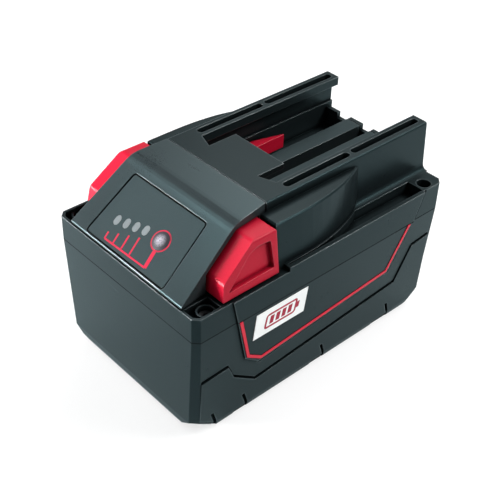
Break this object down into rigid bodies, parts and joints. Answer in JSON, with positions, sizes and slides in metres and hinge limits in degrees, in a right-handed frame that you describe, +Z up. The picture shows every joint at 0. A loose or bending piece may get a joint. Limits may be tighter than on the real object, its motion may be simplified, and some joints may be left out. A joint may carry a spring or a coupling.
{
  "type": "power tool battery pack",
  "caption": "Slide-on rechargeable battery pack for a cordless tool, with a rail channel, blade slots, side release latches and a charge gauge.",
  "frame": {"origin": "middle of the flat base", "axes": "+Z up, +Y along the pack towards the open end of the rails, the gauge end is -Y, +X to the right seen from the gauge end"},
  "size_m": [0.0898, 0.1408, 0.0907],
  "materials": {
    "case_black": "satin moulded plastic with a fine grain",
    "cover_grey": "satin moulded plastic with a fine grain",
    "overlay_grey": "smooth film with a soft sheen",
    "lens_grey": "clear grey plastic",
    "dome_grey": "soft grey plastic dome",
    "rubber_black": "dull rubber",
    "part_black": "moulded component body",
    "board_green": "coated circuit board",
    "led_white": "small lamp body",
    "screw_steel": "zinc plated",
    "latch_red": "satin moulded plastic",
    "spring_steel": "plain spring steel",
    "block_black": "glass filled plastic",
    "contact_copper": "bright contact metal",
    "holder_grey": "moulded plastic",
    "cell_sleeve": "shrunk plastic sleeve over a metal can",
    "strip_nickel": "nickel strip",
    "sheet_white": "fish paper",
    "foam_grey": "closed cell foam",
    "badge_white": "printed film",
    "stripe_red": "printed film"
  },
  "bodies": {
    "pack": {"lower_case": "case_black", "upper_case": "case_black", "gauge_cover": "cover_grey", "gauge_overlay": "overlay_grey", "led_lens": "lens_grey", "switch_rubber": "rubber_black", "tact_switch": "part_black", "gauge_board": "board_green", "gauge_leds": "led_white", "gauge_screws": "screw_steel", "left_latch_spring": "spring_steel", "right_latch_spring": "spring_steel", "terminal_block": "block_black", "positive_terminal": "contact_copper", "negative_terminal": "contact_copper", "signal_terminals": "contact_copper", "control_board": "board_green", "power_transistors": "part_black", "board_parts": "part_black", "board_screws": "screw_steel", "left_cell_holder": "holder_grey", "right_cell_holder": "holder_grey", "cell_01": "cell_sleeve", "cell_02": "cell_sleeve", "cell_03": "cell_sleeve", "cell_04": "cell_sleeve", "cell_05": "cell_sleeve", "cell_06": "cell_sleeve", "cell_07": "cell_sleeve", "cell_08": "cell_sleeve", "cell_09": "cell_sleeve", "cell_10": "cell_sleeve", "cell_11": "cell_sleeve", "cell_12": "cell_sleeve", "cell_13": "cell_sleeve", "cell_14": "cell_sleeve", "bus_strip_1": "strip_nickel", "bus_strip_2": "strip_nickel", "bus_strip_3": "strip_nickel", "bus_strip_4": "strip_nickel", "bus_strip_5": "strip_nickel", "bus_strip_6": "strip_nickel", "bus_strip_7": "strip_nickel", "bus_strip_8": "strip_nickel", "left_insulator": "sheet_white", "right_insulator": "sheet_white", "bottom_pad": "foam_grey", "thermistor": "part_black", "case_screws": "screw_steel", "left_badge": "badge_white", "right_badge": "badge_white", "left_stripe": "stripe_red", "right_stripe": "stripe_red"},
    "left_latch": {"left_latch": "latch_red"},
    "right_latch": {"right_latch": "latch_red"},
    "gauge_button": {"gauge_button": "dome_grey"}
  },
  "joints": [
    {"name": "left_latch_slide", "type": "slide", "parent": "pack", "child": "left_latch", "axis": [1, 0, 0], "range_m": [0, 0.004], "stiffness_N_per_m": 1500, "springref_m": -0.002, "deforming": ["left_latch_spring"]},
    {"name": "right_latch_slide", "type": "slide", "parent": "pack", "child": "right_latch", "axis": [-1, 0, 0], "range_m": [0, 0.004], "stiffness_N_per_m": 1500, "springref_m": -0.002, "deforming": ["right_latch_spring"]},
    {"name": "gauge_button_press", "type": "slide", "parent": "pack", "child": "gauge_button", "axis": [0, 0.6109, -0.7917], "range_m": [0, 0.0006], "stiffness_N_per_m": 1500, "springref_m": -0.0003, "deforming": ["switch_rubber"]}
  ]
}
